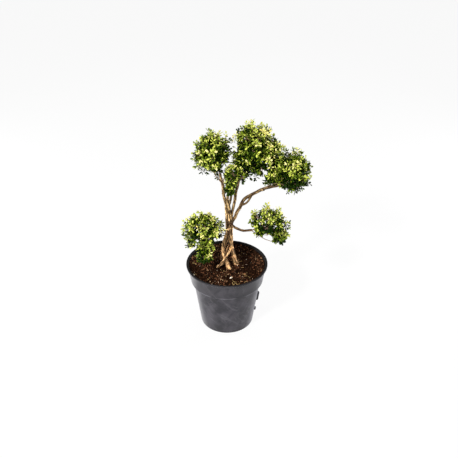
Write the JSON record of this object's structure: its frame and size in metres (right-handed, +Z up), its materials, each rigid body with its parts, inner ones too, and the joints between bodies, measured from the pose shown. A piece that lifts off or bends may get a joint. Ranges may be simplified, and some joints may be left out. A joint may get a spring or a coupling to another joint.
{
  "type": "bonsai tree in a nursery pot",
  "caption": "Clipped cloud-pruned holly bonsai with a braided multi-stem trunk, open boughs and rounded leaf masses, standing in a round tapered nursery pot filled with bark compost.",
  "frame": {"origin": "middle of the pot's flat underside", "axes": "+Z up along the pot's axis, -Y to the front, +X to the long right bough's side"},
  "size_m": [0.3278, 0.23, 0.5975],
  "materials": {
    "pot": "dusty dark grey moulded plastic",
    "soil": "coarse moist bark compost",
    "bark": "pale tan bark, darker in its furrows",
    "leaves": "small glossy leaves, dark green with fresh yellow-green tips"
  },
  "bodies": {
    "root": {"pot": "pot", "soil": "soil", "trunk": "bark", "bough_left": "bark", "bough_fork": "bark", "bough_back": "bark", "bough_top": "bark", "bough_right": "bark", "bough_low_right": "bark", "bough_low_left": "bark", "foliage_left": "leaves", "foliage_top": "leaves", "foliage_right": "leaves", "foliage_fork": "leaves", "foliage_low_right": "leaves", "foliage_low_left": "leaves"}
  },
  "joints": []
}
